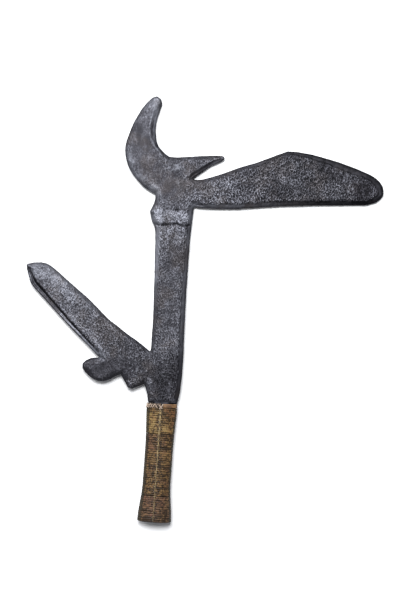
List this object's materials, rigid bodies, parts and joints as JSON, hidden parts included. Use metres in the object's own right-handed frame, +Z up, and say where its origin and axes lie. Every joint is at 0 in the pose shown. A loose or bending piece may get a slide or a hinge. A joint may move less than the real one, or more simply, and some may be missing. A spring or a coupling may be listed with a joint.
{
  "type": "throwing knife currency",
  "caption": "Flat forged iron throwing knife with a crescent, spur, wing and lobed lower arm, on a bound and stitched grip; lies on its back.",
  "frame": {"origin": "centre of the footprint of the whole knife, on the flat surface that it lies on", "axes": "+Y from the foot of the grip towards the crescent, +X towards the tip of the wing, +Z up out of the face that carries the stitched seam"},
  "size_m": [0.3512, 0.4252, 0.0231],
  "materials": {
    "forged_iron": "hammered, blackened, smooth bevelled edges",
    "packing_wood": "dark, handled",
    "collar_hide": "smooth tan hide",
    "split_cane": "split cane, brown and olive, satin",
    "bast_cord": "pale twisted bast fibre"
  },
  "bodies": {
    "root": {"blade": "forged_iron", "packing_front": "packing_wood", "packing_back": "packing_wood", "collar_band": "collar_hide", "upper_binding": "split_cane", "middle_binding": "split_cane", "foot_binding": "split_cane", "seam_knot": "bast_cord", "seam_cord": "bast_cord", "collar_lacing": "bast_cord"}
  },
  "joints": []
}
